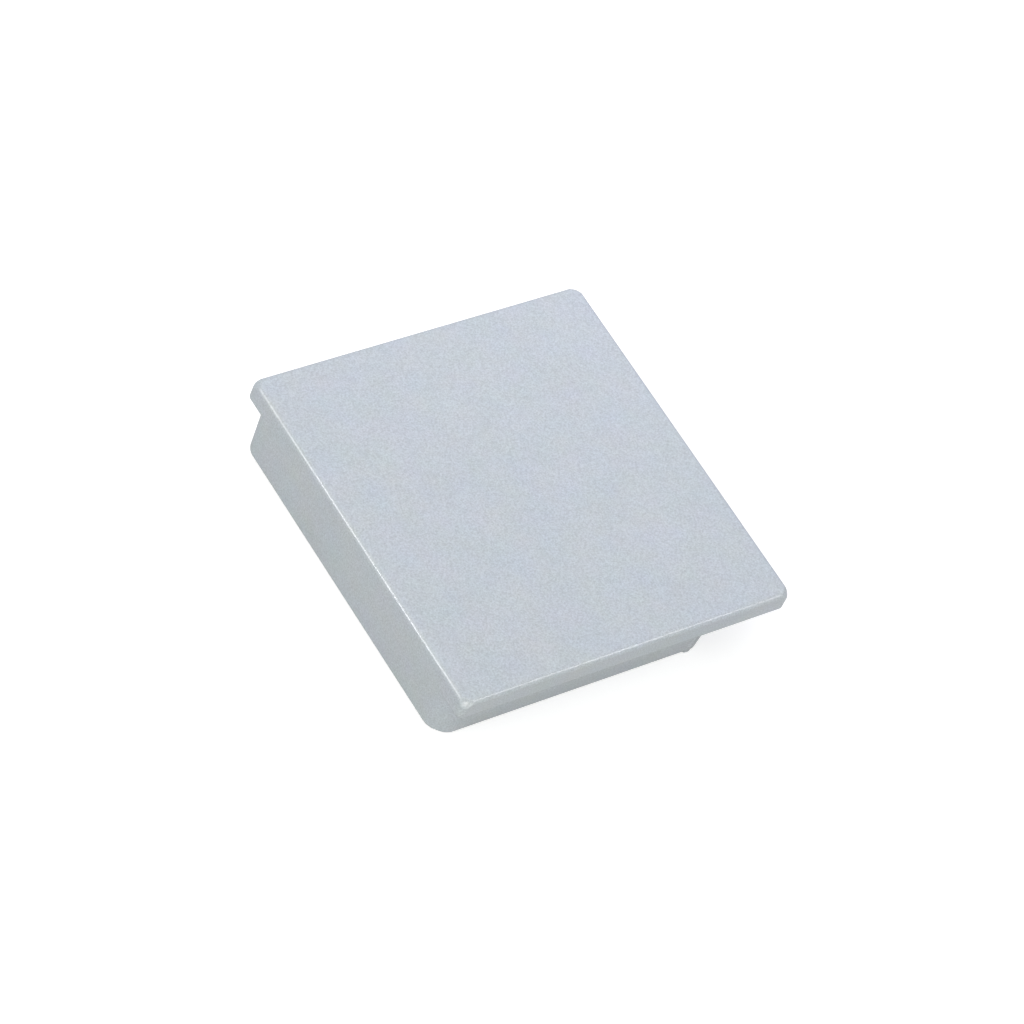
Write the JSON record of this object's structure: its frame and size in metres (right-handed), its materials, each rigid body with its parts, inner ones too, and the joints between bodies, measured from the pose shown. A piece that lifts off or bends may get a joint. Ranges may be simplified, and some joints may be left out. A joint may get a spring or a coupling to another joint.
{
  "type": "profile end cap",
  "caption": "Near-square moulded end cap: a flat plate covers a profile's cut end, on a hollow press-in plug that is flush with the plate along one side.",
  "frame": {"origin": "centre of the bounding box in plan, at the level of the plug's rim", "axes": "+Z out of the profile, +Y along the flush side, +X from the flush side to the side where the plate overhangs"},
  "size_m": [0.0384, 0.04, 0.0076],
  "materials": {
    "silver_grey_plastic": "fine orange-peel texture, satin"
  },
  "bodies": {
    "root": {"end_cap": "silver_grey_plastic"}
  },
  "joints": []
}
